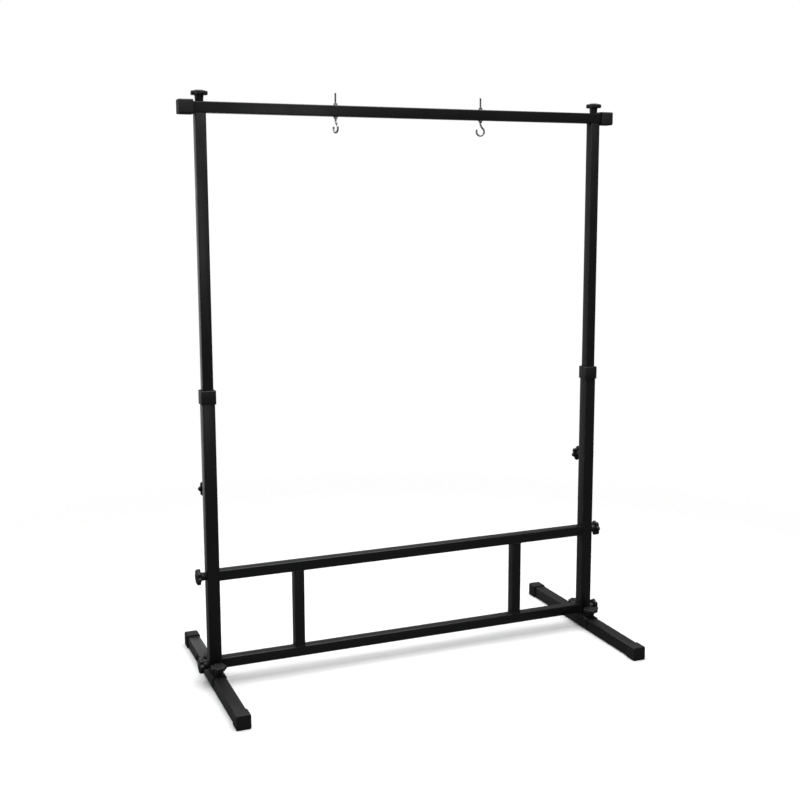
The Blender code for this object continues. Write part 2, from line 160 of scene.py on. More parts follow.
# %% [markdown]
# ### Starting solids
#
# Every piece starts as a box, a drum or a single point. The place is written into the mesh at once, so
# that the object itself stays at the origin, as the frame's own nodes do, and patterns on object
# coordinates lie still on it.

# %% Boxes and drums
def settle(piece):
    """Writes a piece's place into its mesh, so that the object itself sits at the origin."""
    take(piece)
    bpy.ops.object.transform_apply(location=True, rotation=True, scale=True)


def block(name, low, high):
    """A box between two corners."""
    put_down()
    bpy.ops.mesh.primitive_cube_add(size=1, location=(low + high) / 2, scale=high - low)
    piece = bpy.context.object
    piece.name = name
    settle(piece)
    return piece


def drum(name, radius, low, high, sides=48, top_radius=None):
    """A cylinder or cone on the Z axis, between two heights."""
    put_down()
    bpy.ops.mesh.primitive_cone_add(
        vertices=sides, radius1=radius, radius2=top_radius or radius, depth=high - low,
        location=(0, 0, (low + high) / 2),
    )
    piece = bpy.context.object
    piece.name = name
    settle(piece)
    return piece


# %% [markdown]
# ### Cutting and joining
#
# A modifier that is applied at once works like a tool: Bevel is a file, Boolean is a drill or a weld.
# Leaving modifiers live would keep them editable, but the finished mesh is what is handed over.

# %% Modifiers as tools
SHARP = math.radians(60)


def modify(piece, kind, **settings):
    """Adds one modifier, sets it and applies it."""
    take(piece)
    modifier = piece.modifiers.new(kind.title(), kind)
    for setting, value in settings.items():
        setattr(modifier, setting, value)
    bpy.ops.object.modifier_apply(modifier=modifier.name)


def combine(piece, tool, operation):
    """Joins, cuts or trims a piece with another solid, which is used up."""
    modify(piece, "BOOLEAN", operation=operation, solver="EXACT", object=tool)
    bpy.data.objects.remove(tool)


def soften(piece, width):
    """Puts a small round on every sharp edge."""
    modify(piece, "BEVEL", width=width, segments=2, limit_method="ANGLE", angle_limit=SHARP)


# %% Points, turns and copies
def turned_towards(direction):
    """A turn that takes +Z to a direction."""
    return Vector(direction).to_track_quat("Z", "Y").to_matrix().to_4x4()


DRILL_SIDES = 32


def start_point(name, place):
    """A mesh of a single vertex, open for editing. Arcs and profiles are drawn from it."""
    put_down()
    bpy.ops.mesh.primitive_plane_add(size=0.001, location=place)
    piece = bpy.context.object
    piece.name = name
    settle(piece)
    edit(piece)
    bpy.ops.mesh.merge(type="CENTER")
    return piece


def swing(steps, angle, centre, axis, copies=False):
    """Spins what is selected by the right-hand rule, while the operator itself counts the other way."""
    bpy.ops.mesh.spin(steps=steps, angle=-angle, center=centre, axis=axis, dupli=copies)


def drill(piece, middle, direction, radius, length):
    """Drills a round hole, centred on middle."""
    bit = drum("bit", radius, -length / 2, length / 2, sides=DRILL_SIDES)
    bit.matrix_world = Matrix.Translation(middle) @ turned_towards(direction)
    settle(bit)
    combine(piece, bit, "DIFFERENCE")


def copy_of(pattern, name, location, direction=(0, 0, 1), turn=0.0):
    """A copy with its own mesh: turned about its own Z, pointed along a direction and put in place."""
    piece = pattern.copy()
    piece.data = pattern.data.copy()
    piece.name = name
    bpy.context.collection.objects.link(piece)
    about_itself = Matrix.Rotation(turn, 4, "Z")
    piece.matrix_world = Matrix.Translation(location) @ turned_towards(direction) @ about_itself
    settle(piece)
    return piece


# %% [markdown]
# ### Handing a piece over
#
# A finished piece is shaded smooth where its faces meet at a shallow angle, and sharp elsewhere. It then
# rides with the body of the node that it stands for, and that node is hidden. A weld bead or a thread
# belongs to a node without standing for it.

# %% Hand a piece over
SMOOTH_UNDER = math.radians(32)


def hand_over(piece, node, finish, stands_for=True):
    """Shades a piece, gives it its finish, and lets it ride with the node that it belongs to."""
    take(piece)
    bpy.ops.object.shade_smooth_by_angle(angle=SMOOTH_UNDER)
    piece.data.materials.clear()
    piece.data.materials.append(finish)
    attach(piece, BODY_OF[node])
    if stands_for:
        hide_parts(node)
    return piece


# %% [markdown]
# ## Shader helpers
#
# A finish is a Principled shader fed by a few masks. The masks come from groups that every finish
# shares: grain, rubbed corners, dust and scratches. Each group is built once, with named sockets. Nodes
# are plain functions here, so that a finish reads as a recipe.

# %% Nodes as functions
def add(tree, kind, inputs=(), **settings):
    """A shader node. Inputs are pairs of socket and value, or of socket and the output that feeds it."""
    node = tree.nodes.new(kind)
    for setting, value in settings.items():
        setattr(node, setting, value)
    for socket, value in inputs:
        if isinstance(value, bpy.types.NodeSocket):
            tree.links.new(value, node.inputs[socket])
        else:
            node.inputs[socket].default_value = value
    return node


def maths(tree, operation, *values):
    """The result of one Math node."""
    return add(tree, "ShaderNodeMath", enumerate(values), operation=operation).outputs[0]


def remap(tree, value, from_low, from_high, to_low, to_high):
    """A value moved from one range to another, held at its ends."""
    sockets = (("Value", value), ("From Min", from_low), ("From Max", from_high))
    sockets += (("To Min", to_low), ("To Max", to_high))
    return add(tree, "ShaderNodeMapRange", sockets).outputs["Result"]


def tint(tree, factor, first, second):
    """Two colours mixed by a factor."""
    sockets = ((0, factor), (6, first), (7, second))
    return add(tree, "ShaderNodeMix", sockets, data_type="RGBA").outputs[2]


def noise(tree, scale, detail=2.0, stretch=(1, 1, 1)):
    """Noise on object coordinates, with a scale in features per metre."""
    place = add(tree, "ShaderNodeTexCoord").outputs["Object"]
    place = add(tree, "ShaderNodeMapping", (("Vector", place), ("Scale", stretch))).outputs[0]
    sockets = (("Vector", place), ("Scale", scale), ("Detail", detail))
    return add(tree, "ShaderNodeTexNoise", sockets).outputs[0]


def new_group(name, inputs, outputs):
    """An empty node group with float sockets, and its two ends."""
    tree = bpy.data.node_groups.new(name, "ShaderNodeTree")
    for socket, value in inputs.items():
        made = tree.interface.new_socket(socket, in_out="INPUT", socket_type="NodeSocketFloat")
        made.default_value = value
    for socket in outputs:
        tree.interface.new_socket(socket, in_out="OUTPUT", socket_type="NodeSocketFloat")
    return tree, tree.nodes.new("NodeGroupInput"), tree.nodes.new("NodeGroupOutput")


# %% [markdown]
# ### The shared effects
#
# *Grain* is the fine roughness that a powder coat or a mould leaves. *Corners* finds the rounded edges
# of a square piece by the way they face: between two axes. *Dust* lies on what faces up. *Scratches* are
# noise pulled long in one direction. All of it could be painted on images instead, but noise on object
# coordinates needs no image, never shows a seam, and stays sharp close up.

# %% Grain and rubbed corners
def grain_group():
    """Height is the fine relief, and Patches is a slow drift over the piece."""
    tree, given, result = new_group("grain", {"Per Metre": 700.0}, ("Height", "Patches"))
    place = add(tree, "ShaderNodeTexCoord").outputs["Object"]
    fine = add(tree, "ShaderNodeTexNoise", (("Vector", place), ("Detail", 3.0)))
    tree.links.new(given.outputs["Per Metre"], fine.inputs["Scale"])
    tree.links.new(fine.outputs[0], result.inputs["Height"])
    tree.links.new(noise(tree, 9.0, 4.0), result.inputs["Patches"])
    return tree


def corners_group():
    """Mask is 1 on a square piece's rounded edges and 0 on its flats, broken up by noise."""
    tree, given, result = new_group("corners", {"Wear": 0.5}, ("Mask",))
    facing = add(tree, "ShaderNodeTexCoord").outputs["Normal"]
    facing = add(tree, "ShaderNodeVectorMath", ((0, facing),), operation="ABSOLUTE").outputs[0]
    parts = add(tree, "ShaderNodeSeparateXYZ", ((0, facing),))
    widest = maths(tree, "MAXIMUM", parts.outputs[0], parts.outputs[1])
    widest = maths(tree, "MAXIMUM", widest, parts.outputs[2])
    round_edge = remap(tree, widest, 0.99, 0.80, 0.0, 1.0)
    broken = remap(tree, noise(tree, 38.0, 5.0), 0.42, 0.68, 0.0, 1.0)
    worn = maths(tree, "MULTIPLY", round_edge, broken)
    tree.links.new(maths(tree, "MULTIPLY", worn, given.outputs["Wear"]), result.inputs["Mask"])
    return tree


# %% Dust and scratches
def dust_group():
    """Mask is dust on what faces up, thicker in clouds."""
    tree, given, result = new_group("dust", {"Amount": 0.5}, ("Mask",))
    facing = add(tree, "ShaderNodeTexCoord").outputs["Normal"]
    up = add(tree, "ShaderNodeSeparateXYZ", ((0, facing),)).outputs[2]
    up = remap(tree, up, 0.35, 0.95, 0.0, 1.0)
    clouds = remap(tree, noise(tree, 16.0, 6.0), 0.35, 0.75, 0.35, 1.0)
    settled = maths(tree, "MULTIPLY", up, clouds)
    tree.links.new(maths(tree, "MULTIPLY", settled, given.outputs["Amount"]), result.inputs["Mask"])
    return tree


def scratches_group():
    """Mask is fine lines along Z, where one tube slides in another."""
    tree, given, result = new_group("scratches", {"Amount": 0.5}, ("Mask",))
    lines = remap(tree, noise(tree, 1.0, 3.0, (900, 900, 7)), 0.60, 0.72, 0.0, 1.0)
    here = remap(tree, noise(tree, 22.0, 2.0), 0.40, 0.62, 0.0, 1.0)
    both = maths(tree, "MULTIPLY", lines, here)
    tree.links.new(maths(tree, "MULTIPLY", both, given.outputs["Amount"]), result.inputs["Mask"])
    return tree


# %% Build the groups once
GRAIN, CORNERS, DUST, SCRATCHES = grain_group(), corners_group(), dust_group(), scratches_group()


def effect(tree, group, output, **given):
    """One output of a shared effect, placed in a material with its own values."""
    node = add(tree, "ShaderNodeGroup", node_tree=group)
    for socket, value in given.items():
        node.inputs[socket.replace("_", " ")].default_value = value
    return node.outputs[output]


print("effects:", ", ".join(group.name for group in (GRAIN, CORNERS, DUST, SCRATCHES)))

# %% [markdown]
# ### From masks to a finish
#
# Each finish below starts from the same new material and ends by wiring colour, roughness and relief into
# its shader. What is the same all over, such as metal or not, is set on the shader itself. The relief goes
# through a Bump node: true grooves this fine would need millions of faces.

# %% Start and finish a material
def finish(name, metallic=0.0, specular=0.5):
    """A new material, its node tree and its Principled shader."""
    made = bpy.data.materials.new(name)
    made.use_nodes = True
    shader = made.node_tree.nodes["Principled BSDF"]
    shader.inputs["Metallic"].default_value = metallic
    shader.inputs["Specular IOR Level"].default_value = specular
    return made, made.node_tree, shader


def feed(tree, shader, colour, roughness, height=None, strength=0.1, depth=0.0002):
    """Wires colour, roughness and relief into a Principled shader."""
    tree.links.new(colour, shader.inputs["Base Color"])
    tree.links.new(roughness, shader.inputs["Roughness"])
    if height is not None:
        sockets = (("Height", height), ("Strength", strength), ("Distance", depth))
        tree.links.new(add(tree, "ShaderNodeBump", sockets).outputs[0], shader.inputs["Normal"])


# %% [markdown]
# ### Powder coat
#
# The tube is steel with a satin black powder coat. Close up it isn't flat: the powder melts into a fine
# orange peel, corners polish a little greyer where hands and the floor rub them, and a trace of dust lies
# on top. One dark colour would give a black hole instead of steel, so colour and gloss both drift. The
# tubes that slide carry long fine scratches from the collar as well.

# %% Powder coat
BLACK = (0.0075, 0.0075, 0.0082, 1)
RUBBED = (0.045, 0.045, 0.047, 1)
DUST_COLOUR = (0.16, 0.155, 0.15, 1)
COAT_WEAR = 0.55
COAT_DUST = 0.035
SATIN, DULL_SATIN = 0.30, 0.38
ORANGE_PEEL = 520.0  # in each metre
SCRATCH_ROUGH = 0.25
DUST_ROUGH = 0.9


def powder_coat(name, sliding=0.0):
    """Black powder coat. Sliding adds the marks of the collar that the tube runs through."""
    made, tree, shader = finish(name, specular=0.42)
    worn = effect(tree, CORNERS, "Mask", Wear=COAT_WEAR)
    dust = effect(tree, DUST, "Mask", Amount=COAT_DUST)
    patches = effect(tree, GRAIN, "Patches")
    colour = tint(tree, worn, BLACK, RUBBED)
    roughness = remap(tree, patches, 0.3, 0.7, SATIN, DULL_SATIN)
    if sliding:
        lines = effect(tree, SCRATCHES, "Mask", Amount=sliding)
        colour = tint(tree, lines, colour, RUBBED)
        roughness = maths(tree, "ADD", roughness, maths(tree, "MULTIPLY", lines, SCRATCH_ROUGH))
    colour = tint(tree, dust, colour, DUST_COLOUR)
    roughness = maths(tree, "ADD", roughness, maths(tree, "MULTIPLY", dust, DUST_ROUGH))
    peel = effect(tree, GRAIN, "Height", Per_Metre=ORANGE_PEEL)
    feed(tree, shader, colour, roughness, peel, strength=0.16, depth=0.0003)
    return made


COAT = powder_coat("powder_coat_black")
SLIDING_COAT = powder_coat("powder_coat_on_sliding_tube", sliding=0.7)

# %% [markdown]
# ### Plastic and rubber
#
# The knobs and collars are moulded nylon: an even, fine texture from the eroded mould. The end caps and
# button plugs are rubber: duller, with a coarser skin, and rubbed grey on their edges. The two differ only
# in numbers, so one recipe makes both.

# %% Plastic and rubber
PALER = 2.2  # how much lighter the cloudy places are


def moulded(name, colour, rough, per_metre, strength, dust, wear):
    """A moulded black material, with relief of so many grains in each metre."""
    made, tree, shader = finish(name, specular=0.38)
    patches = effect(tree, GRAIN, "Patches")
    shade = tuple(part * PALER for part in colour[:3]) + (1,)
    base = tint(tree, remap(tree, patches, 0.35, 0.75, 0.0, 0.6), colour, shade)
    base = tint(tree, effect(tree, CORNERS, "Mask", Wear=wear), base, RUBBED)
    powder = effect(tree, DUST, "Mask", Amount=dust)
    base = tint(tree, powder, base, DUST_COLOUR)
    roughness = remap(tree, patches, 0.3, 0.7, rough - 0.05, rough + 0.06)
    skin = effect(tree, GRAIN, "Height", Per_Metre=per_metre)
    feed(tree, shader, base, roughness, skin, strength, depth=0.0002)
    return made


NYLON = moulded(
    "nylon_black", (0.0085, 0.0085, 0.0090, 1),
    rough=0.42, per_metre=1500.0, strength=0.22, dust=0.06, wear=0.0,
)
COLLAR_NYLON = moulded(
    "collar_nylon_black", (0.0090, 0.0090, 0.0095, 1),
    rough=0.46, per_metre=1300.0, strength=0.22, dust=0.06, wear=0.35,
)
RUBBER = moulded(
    "rubber_black", (0.0070, 0.0070, 0.0072, 1),
    rough=0.60, per_metre=900.0, strength=0.35, dust=0.03, wear=0.30,
)

# %% [markdown]
# ### Zinc and bare steel
#
# The hooks, their nuts and washers are bright zinc plate: metal all through the shader, with soft streaks
# from the plating barrel and slightly darker patches. A plain metal would mirror its surroundings too
# evenly. The studs, nut plates and threaded plugs are the same metal, duller.

# %% Zinc and steel
def plated(name, bright, dull, smooth, rough):
    """Zinc-plated steel, between a bright and a dull tone."""
    made, tree, shader = finish(name, metallic=1.0)
    streaks = remap(tree, noise(tree, 60.0, 6.0), 0.35, 0.70, 0.0, 1.0)
    colour = tint(tree, streaks, bright, dull)
    roughness = remap(tree, streaks, 0.0, 1.0, smooth, rough)
    feed(tree, shader, colour, roughness, noise(tree, 1800.0, 2.0), 0.10, 0.0001)
    return made


ZINC = plated("zinc_bright", (0.50, 0.505, 0.52, 1), (0.33, 0.335, 0.35, 1), smooth=0.20, rough=0.38)
STEEL = plated("steel_dull", (0.40, 0.40, 0.41, 1), (0.24, 0.24, 0.25, 1), smooth=0.30, rough=0.48)
FINISHES = (COAT, SLIDING_COAT, NYLON, COLLAR_NYLON, RUBBER, ZINC, STEEL)
print("finishes:", ", ".join(made.name for made in FINISHES))

# %% [markdown]
# ## Square tube
#
# The tube is a flat steel strip rolled square and welded, so its long edges are round and its wall is
# even. It could be extruded from a drawn outline, but a box between the node's own corners is in place at
# once. The box loses its two ends, its four long edges get a wide bevel, and Solidify gives the sleeve its
# wall. A last small bevel takes the sharpness off the sawn ends.

# %% Tubes
TUBE_CORNER = 0.003
TUBE_WALL = 0.0015
SAWN_EDGE = 0.0003
HOLE_ROOM = 0.0006  # between a stud and the side of its plain hole


def square_tube(node):
    """A length of square tube that fills a node's box."""
    low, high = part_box(node)
    size = high - low
    axis = max(range(3), key=lambda i: size[i])
    piece = block(f"{node}_steel", low, high)
    edit(piece)
    pick("FACE", lambda face: abs(face.normal[axis]) > 0.9)
    bpy.ops.mesh.delete(type="ONLY_FACE")
    pick("EDGE", edges_along(axis))
    bpy.ops.mesh.bevel(offset=TUBE_CORNER, segments=6, affect="EDGES")
    modify(piece, "SOLIDIFY", thickness=TUBE_WALL, offset=-1)
    soften(piece, SAWN_EDGE)
    return piece


TUBE_NAMES = ("foot_tube", "lower_upright", "upper_upright", "strut")
tubes = {
    node: square_tube(node)
    for node in BODY_OF
    if node.startswith(TUBE_NAMES) or node.endswith("_rail")
}
tubes["crossbar"] = square_tube("crossbar")
print(len(tubes), "tubes")

# %% [markdown]
# ## Holes for studs
#
# Each knob's stud passes through plain holes before it reaches its thread. A hole could be drawn on the
# face and deleted, but a Boolean with a drum cuts both walls and the round corners just as a drill would.
# The knob's joint gives the line that the hole is on, so the holes can't miss the knobs.

# %% Drill the tubes
STUD_RADIUS = 0.004
HOOK_RADIUS = 0.003
THROUGH_WALL = 0.006
THROUGH_TUBE = 0.060


def joint_line(node):
    """A point on the axis of the joint that moves a node, and the axis."""
    joint = JOINT_OF[BODY_OF[node]]
    return Vector(joint["pos_m"]), Vector(joint["axis"])


for side in SIDES:
    for end in ("front", "rear"):
        seat, axis = joint_line(f"foot_knob_{side}_{end}")
        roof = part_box(f"foot_tube_{side}")[1].z
        middle = Vector((seat.x, seat.y, roof))
        drill(tubes[f"foot_tube_{side}"], middle, axis, STUD_RADIUS + HOLE_ROOM, THROUGH_WALL)
    for level in ("upper", "lower"):
        seat, axis = joint_line(f"{level}_rail_knob_{side}")
        middle = seat - axis * THROUGH_TUBE / 2
        drill(tubes[f"lower_upright_{side}"], middle, axis, STUD_RADIUS + HOLE_ROOM, THROUGH_TUBE)
    seat, axis = joint_line(f"lock_knob_{side}")
    middle = Vector((seat.x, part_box(f"lower_upright_{side}")[1].y, seat.z))
    drill(tubes[f"lower_upright_{side}"], middle, axis, STUD_RADIUS + HOLE_ROOM, THROUGH_WALL)
    for node, radius in (
        (f"crossbar_knob_{side}", STUD_RADIUS + HOLE_ROOM), (f"hook_{side}", HOOK_RADIUS + TINY)
    ):
        seat, axis = joint_line(node)
        middle = Vector((seat.x, seat.y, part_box("crossbar")[1].z))
        drill(tubes["crossbar"], middle, axis, radius, 2 * THROUGH_TUBE)

for node, piece in tubes.items():
    hand_over(piece, node, SLIDING_COAT if node.startswith("upper_upright") else COAT)
print("tubes drilled, crossbar of", len(tubes["crossbar"].data.polygons), "faces")

# %% [markdown]
# ## Saddles
#
# A saddle is a strip of plate folded into an upside-down U, which straddles the foot under its upright.
# Bending a flat strip needs a curve to bend along. A box without its ends and floor, with its two upper
# edges bevelled round, is the same fold in three steps. The four free corners of its sides are rounded
# off while it is still a sheet, and Solidify then grows the plate inwards.

# %% Saddles
PLATE = 0.0027
FOLD = 0.0057
FREE_CORNER = 0.008


def saddle(side):
    """The folded plate over one foot."""
    node = f"saddle_{side}"
    low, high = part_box(node)
    piece = block(f"{node}_plate", low, high)
    edit(piece)
    pick("FACE", lambda face: abs(face.normal.y) > 0.9 or face.normal.z < -0.9)
    bpy.ops.mesh.delete(type="ONLY_FACE")
    pick("EDGE", lambda edge: edges_along(1)(edge) and edges_at(2, high.z)(edge))
    bpy.ops.mesh.bevel(offset=FOLD, segments=8, affect="EDGES")
    pick("VERT", lambda corner: corner.co.z < low.z + TINY)
    bpy.ops.mesh.bevel(offset=FREE_CORNER, segments=6, affect="VERTICES")
    modify(piece, "SOLIDIFY", thickness=PLATE, offset=-1)
    soften(piece, SAWN_EDGE)
    for end in ("front", "rear"):
        seat, axis = joint_line(f"foot_knob_{side}_{end}")
        drill(piece, seat, axis, STUD_RADIUS + HOLE_ROOM, THROUGH_WALL + 2 * PLATE)
    return hand_over(piece, node, COAT)


for side in SIDES:
    print(f"saddle_{side} of", len(saddle(side).data.polygons), "faces")

# %% [markdown]
# ## Weld beads
#
# The struts are welded to the rails and the uprights to their saddles. A weld is a string of frozen
# puddles. Bump could draw it, but a bead stands proud of the corner, so it is real geometry. A square
# outline with round corners is cut into short even steps, thickened as a curve, and every second ring of
# it is pulled in, which leaves the ripples.

# %% Weld beads
BEAD = 0.0021
RIPPLE = 0.00045
BEAD_STEP = 0.0014
BEAD_CORNER_STEPS = 4


def weld_bead(name, middle, half, node):
    """A bead round a square tube's end. Half is from the tube's middle to the bead's."""
    put_down()
    bpy.ops.mesh.primitive_plane_add(size=2 * half, location=middle)
    piece = bpy.context.object
    piece.name = name
    settle(piece)
    edit(piece)
    bpy.ops.mesh.bevel(offset=TUBE_CORNER, segments=BEAD_CORNER_STEPS, affect="VERTICES")
    bpy.ops.mesh.delete(type="ONLY_FACE")
    pick("EDGE", lambda edge: edge.calc_length() > 2 * TUBE_CORNER)
    straight = 2 * half - 2 * TUBE_CORNER
    bpy.ops.mesh.subdivide(number_cuts=2 * round(straight / BEAD_STEP / 2) - 1)
    take(piece)
    steps = len(piece.data.vertices)
    bpy.ops.object.convert(target="CURVE")
    piece.data.bevel_depth = BEAD
    piece.data.bevel_resolution = 2
    bpy.ops.object.convert(target="MESH")
    ring = len(piece.data.vertices) // steps
    edit(piece)
    pick("VERT", lambda corner: corner.index // ring % 2)
    bpy.ops.transform.shrink_fatten(value=-RIPPLE)
    face_outwards()
    return hand_over(piece, node, COAT, stands_for=False)


for side in SIDES:
    strut_low, strut_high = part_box(f"strut_{side}")
    middle, half = (strut_low + strut_high) / 2, (strut_high.x - strut_low.x) / 2
    for end, height in (("bottom", strut_low.z), ("top", strut_high.z)):
        place = Vector((middle.x, 0, height))
        weld_bead(f"weld_strut_{side}_{end}", place, half - BEAD / 3, f"strut_{side}")
    post_low, post_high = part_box(f"lower_upright_{side}")
    foot_of_post = Vector(((post_low.x + post_high.x) / 2, 0, post_low.z))
    weld_bead(f"weld_upright_{side}", foot_of_post, (post_high.x - post_low.x) / 2, f"saddle_{side}")
print("welds at 4 strut ends and 2 saddles")

# %% [markdown]
# ## End caps
#
# A rubber cap is a cup pushed over the tube. Solidify could make the cup too, but its inside would then
# be rounded like its outside, and the tube's end is flat. So the box gets round long edges and a softer
# outer end, and its open end is inset by the wall and pushed in. The last bevel rounds the lip.

# %% End caps
CAP_CORNER = 0.005
CAP_SOFT = 0.0022
CAP_FLOOR = 0.004
CAP_LIP = 0.0007
FOOT_CAP_WALL = 0.0027
CROSSBAR_CAP_WALL = 0.0045


def end_cap(node, axis, outward, wall):
    """A cap whose closed end looks outward along an axis."""
    low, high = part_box(node)
    closed, mouth = (high, low) if outward > 0 else (low, high)
    piece = block(f"{node}_rubber", low, high)
    edit(piece)
    pick("EDGE", edges_along(axis))
    bpy.ops.mesh.bevel(offset=CAP_CORNER, segments=6, affect="EDGES")
    pick("EDGE", edges_at(axis, closed[axis]))
    bpy.ops.mesh.bevel(offset=CAP_SOFT, segments=4, affect="EDGES")
    pick("FACE", faces(axis, -outward, mouth[axis]))
    bpy.ops.mesh.inset(thickness=wall)
    inward = Vector((0, 0, 0))
    inward[axis] = closed[axis] - mouth[axis] - outward * CAP_FLOOR
    pull(inward)
    pick("EDGE", edges_at(axis, mouth[axis]))
    bpy.ops.mesh.bevel(offset=CAP_LIP, segments=2, affect="EDGES")
    return hand_over(piece, node, RUBBER)


for side, sign in SIDES.items():
    for end, along in (("front", -1), ("rear", 1)):
        end_cap(f"foot_cap_{side}_{end}", 1, along, FOOT_CAP_WALL)
    end_cap(f"crossbar_cap_{side}", 0, sign, CROSSBAR_CAP_WALL)
print("4 foot caps and 2 crossbar caps")

# %% [markdown]
# ## Collars
#
# The collar keeps the inner tube central. It is one moulding: a skirt over the outer tube, a lid, and a
# square hole. The hole could be cut with a Boolean, which leaves long thin faces. Here the underside is
# hollowed to the skirt's wall, then top and ceiling are both inset to the hole, and the two openings are
# bridged, so that the faces run evenly from one to the other.

# %% Collars
SKIRT_WALL = 0.0032
LID = 0.010
COLLAR_CORNER = 0.0045
COLLAR_CHAMFER = 0.0022
COLLAR_EDGE = 0.0004
SLEEVE_GAP = 0.0003


def collar(side):
    """The guide collar on one lower upright."""
    node = f"collar_{side}"
    low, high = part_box(node)
    tube_low, tube_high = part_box(f"upper_upright_{side}")
    margin = (high.x - low.x) / 2 - (tube_high.x - tube_low.x) / 2 - SLEEVE_GAP
    ceiling = high.z - LID
    piece = block(f"{node}_moulding", low, high)
    edit(piece)
    pick("EDGE", edges_along(2))
    bpy.ops.mesh.bevel(offset=COLLAR_CORNER, segments=6, affect="EDGES")
    pick("EDGE", edges_at(2, high.z))
    bpy.ops.mesh.bevel(offset=COLLAR_CHAMFER, segments=3, affect="EDGES")
    pick("FACE", faces(2, -1, low.z))
    bpy.ops.mesh.inset(thickness=SKIRT_WALL)
    pull((0, 0, ceiling - low.z))
    bpy.ops.mesh.inset(thickness=margin - SKIRT_WALL)
    bpy.ops.mesh.delete(type="FACE")
    pick("FACE", faces(2, 1, high.z))
    bpy.ops.mesh.inset(thickness=margin - COLLAR_CHAMFER)
    bpy.ops.mesh.delete(type="FACE")
    bpy.ops.mesh.select_mode(type="EDGE")
    bpy.ops.mesh.select_all(action="DESELECT")
    bpy.ops.mesh.select_non_manifold()
    bpy.ops.mesh.bridge_edge_loops()
    face_outwards()
    soften(piece, COLLAR_EDGE)
    return hand_over(piece, node, COLLAR_NYLON)


for side in SIDES:
    print(f"collar_{side} of", len(collar(side).data.polygons), "faces")

# %% [markdown]
# ## Button plugs
#
# A round plug closes a spare hole in the side of each foot. It is a low drum with a domed rim, and a stem
# that snaps into the tube. A squashed ball would have the dome but not the flat middle. One plug is
# modelled on the Z axis, and a copy is pointed out of each foot.

# %% Button plugs
BUTTON_RADIUS = 0.011
BUTTON_HEAD = 0.004
BUTTON_STEM = 0.006
BUTTON_DOME = 0.0026
STEM_RADIUS = 0.0055

button = drum("button_pattern", BUTTON_RADIUS, SLEEVE_GAP, BUTTON_HEAD)
edit(button)
pick("EDGE", edges_at(2, BUTTON_HEAD))
bpy.ops.mesh.bevel(offset=BUTTON_DOME, segments=5, affect="EDGES")
pick("FACE", faces(2, -1, SLEEVE_GAP))
bpy.ops.mesh.inset(thickness=BUTTON_RADIUS - STEM_RADIUS)
pull((0, 0, -BUTTON_STEM))
put_down()
for side, sign in SIDES.items():
    node = f"foot_button_{side}"
    low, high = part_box(node)
    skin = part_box(f"foot_tube_{side}")[1 if sign > 0 else 0].x
    seat = Vector((skin, (low.y + high.y) / 2, (low.z + high.z) / 2))
    hand_over(copy_of(button, f"{node}_rubber", seat, (sign, 0, 0)), node, RUBBER)
    print(node, "at", tuple(round(place, 4) for place in seat))
bpy.data.objects.remove(button)

# %% [markdown]
# ## Star knobs
#
# Twelve knobs of one pattern hold the stand together. Each has a head with seven round lobes for the
# fingers, a raised disc, and a hub that bears on the tube.
#
# The outline of the head is made of arcs that run smoothly into each other: a lobe and half a hollow on
# each side of it. One point, spun about three centres in turn, draws them. The chain is then repeated
# seven times round the knob's axis. Where the arcs meet, their centres and the meeting point are in line,
# and that fixes where the hollow's centre has to be.

# %% Outline of the head
LOBES = 7
HEAD_RADIUS = 0.025
HOLLOW_RADIUS = 0.0205  # from the knob's axis to the bottom of a hollow
LOBE = 0.0066
HUB_LENGTH = 0.017
HEAD_THICKNESS = 0.0125
HALF_SECTOR = math.pi / LOBES

lobe_middle = HEAD_RADIUS - LOBE
hollow_reach = HOLLOW_RADIUS - LOBE
spread = lobe_middle * math.cos(HALF_SECTOR) - hollow_reach
hollow_middle = (lobe_middle**2 - hollow_reach**2) / (2 * spread)
meeting = math.atan2(
    hollow_middle * math.sin(HALF_SECTOR), hollow_middle * math.cos(HALF_SECTOR) - lobe_middle
)


def polar(radius, angle, height=0.0):
    """A point at a radius and angle round Z."""
    return Vector((radius * math.cos(angle), radius * math.sin(angle), height))


knob = start_point("knob_pattern", polar(HOLLOW_RADIUS, -HALF_SECTOR, HUB_LENGTH))
half_hollow = HALF_SECTOR - meeting
for centre, sweep, steps in (
    (polar(hollow_middle, -HALF_SECTOR, HUB_LENGTH), half_hollow, 4),
    (polar(lobe_middle, 0, HUB_LENGTH), 2 * meeting, 12),
    (polar(hollow_middle, HALF_SECTOR, HUB_LENGTH), half_hollow, 4),
):
    swing(steps, sweep, centre, (0, 0, 1))
bpy.ops.mesh.select_all(action="SELECT")
swing(LOBES, 2 * math.pi, (0, 0, 0), (0, 0, 1), copies=True)
bpy.ops.mesh.select_all(action="SELECT")
bpy.ops.mesh.remove_doubles(threshold=TINY)
print("outline of", len(bmesh.from_edit_mesh(knob.data).verts), "points")

# %% [markdown]
# The outline is filled and pulled up into the head, and both its rims get a wide round bevel. A raised
# disc with a shallow dish in it and the hub, a drum that widens upwards, are solids of their own. They
# could be extruded from the head's faces, but their round outlines don't meet the lobes' points, so a
# Boolean joins them on.

# %% Head, disc and hub
HEAD_EDGE = 0.0036
DISC_RADIUS = 0.0128
DISC_HEIGHT = 0.0019
DISC_ROUND = 0.0010
DISC_RIM = 0.0016
DISC_DISH = 0.0005
HUB_FOOT, HUB_HEAD = 0.0118, 0.0134  # its radius on the tube and under the head
HUB_ROUND = 0.0008
ROUND_SIDES = 56
HEAD_TOP = HUB_LENGTH + HEAD_THICKNESS

bpy.ops.mesh.edge_face_add()
pull((0, 0, HEAD_THICKNESS))
face_outwards()
for height in (HUB_LENGTH, HEAD_TOP):
    pick("EDGE", edges_at(2, height))
    bpy.ops.mesh.bevel(offset=HEAD_EDGE, segments=5, affect="EDGES")

